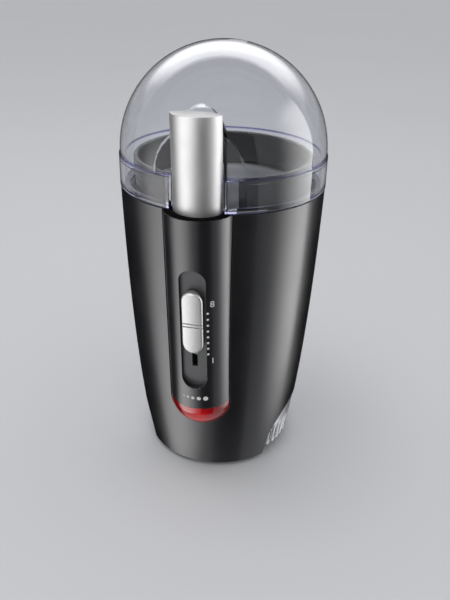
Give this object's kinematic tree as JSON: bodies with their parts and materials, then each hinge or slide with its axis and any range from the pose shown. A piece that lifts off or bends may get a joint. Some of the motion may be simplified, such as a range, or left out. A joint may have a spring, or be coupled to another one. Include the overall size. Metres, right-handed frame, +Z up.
{
  "type": "electric spice grinder",
  "caption": "Domed electric spice grinder: tapered black body, clear lid, leaning front column with a silver push button, grain slider and red lens, vented base ring.",
  "frame": {"origin": "middle of the grinder's overall outline seen from above, on the table it stands on", "axes": "+Z up along the motor shaft; -Y towards the control column and its button; +X to the right of someone who looks at the column from the front"},
  "size_m": [0.1, 0.1098, 0.2126],
  "materials": {
    "housing_black": "satin black plastic",
    "panel_grey": "matt dark grey plastic",
    "base_black": "fine-grained black plastic",
    "silver_lacquer": "plastic with a satin silver lacquer",
    "lens_red": "clear red plastic",
    "lid_clear": "clear polished plastic",
    "rubber": "moulded black rubber",
    "seal_rubber": "soft grey silicone rubber",
    "bowl_steel": "drawn stainless sheet",
    "blade_steel": "ground stainless steel",
    "steel": "plain turned steel",
    "bracket_metal": "zinc-plated sheet steel",
    "lamination": "stacked electrical sheet",
    "copper_wire": "enamelled copper wire",
    "commutator_copper": "turned copper bars",
    "brass": "pressed brass sheet",
    "carbon": "pressed graphite",
    "circuit_board": "green board with a satin solder mask",
    "light_red": "clear red diode body",
    "plunger_white": "natural white plastic"
  },
  "bodies": {
    "housing": {"outer_shell": "housing_black", "control_column": "housing_black", "slider_plate": "panel_grey", "indicator_lens": "lens_red", "base_ring": "silver_lacquer", "bottom_plate": "base_black", "rubber_foot_1": "rubber", "rubber_foot_2": "rubber", "rubber_foot_3": "rubber", "rubber_foot_4": "rubber", "base_screws": "steel", "cord_inlet": "rubber", "chamber_deck": "housing_black", "grinding_bowl": "bowl_steel", "bowl_seal": "seal_rubber", "bowl_screws": "steel", "shaft_seal": "seal_rubber", "upper_bracket": "bracket_metal", "lower_bracket": "bracket_metal", "upper_bearing": "steel", "lower_bearing": "steel", "motor_mounts": "rubber", "stator_core": "lamination", "field_coil_left": "copper_wire", "field_coil_right": "copper_wire", "motor_screws": "steel", "brush_holder_left": "brass", "brush_holder_right": "brass", "carbon_brush_left": "carbon", "carbon_brush_right": "carbon", "circuit_board": "circuit_board", "slide_potentiometer": "bracket_metal", "mains_switch": "base_black", "run_light": "light_red", "button_spring": "steel"},
    "lid": {"clear_lid": "lid_clear"},
    "button": {"start_button": "silver_lacquer", "button_stem": "base_black"},
    "plunger": {"switch_plunger": "plunger_white"},
    "slider": {"slider_knob": "silver_lacquer", "slider_lever": "base_black"},
    "rotor": {"drive_shaft": "steel", "armature_core": "lamination", "armature_winding": "copper_wire", "commutator": "commutator_copper", "cooling_fan": "panel_grey", "grinding_blade": "blade_steel", "blade_nut": "steel"}
  },
  "joints": [
    {"name": "lid_lift", "type": "slide", "parent": "housing", "child": "lid", "axis": [0, 0, 1], "range_m": [0, 0.06]},
    {"name": "button_press", "type": "slide", "parent": "housing", "child": "button", "axis": [0, 0.0758, -0.9971], "range_m": [0, 0.004], "stiffness_N_per_m": 1000, "springref_m": -0.003, "deforming": ["button_spring"]},
    {"name": "plunger_press", "type": "slide", "parent": "housing", "child": "plunger", "axis": [0, 0.0758, -0.9971], "range_m": [0, 0.004]},
    {"name": "grain_slide", "type": "slide", "parent": "housing", "child": "slider", "axis": [0, -0.0758, 0.9971], "range_m": [-0.01488, 0.0076]},
    {"name": "rotor_spin", "type": "hinge", "parent": "housing", "child": "rotor", "pos_m": [0, 0.00487, 0.1], "axis": [0, 0, 1], "continuous": true}
  ],
  "couplings": [
    {"joint": "plunger_press", "follows": "button_press", "ratio": 1}
  ]
}
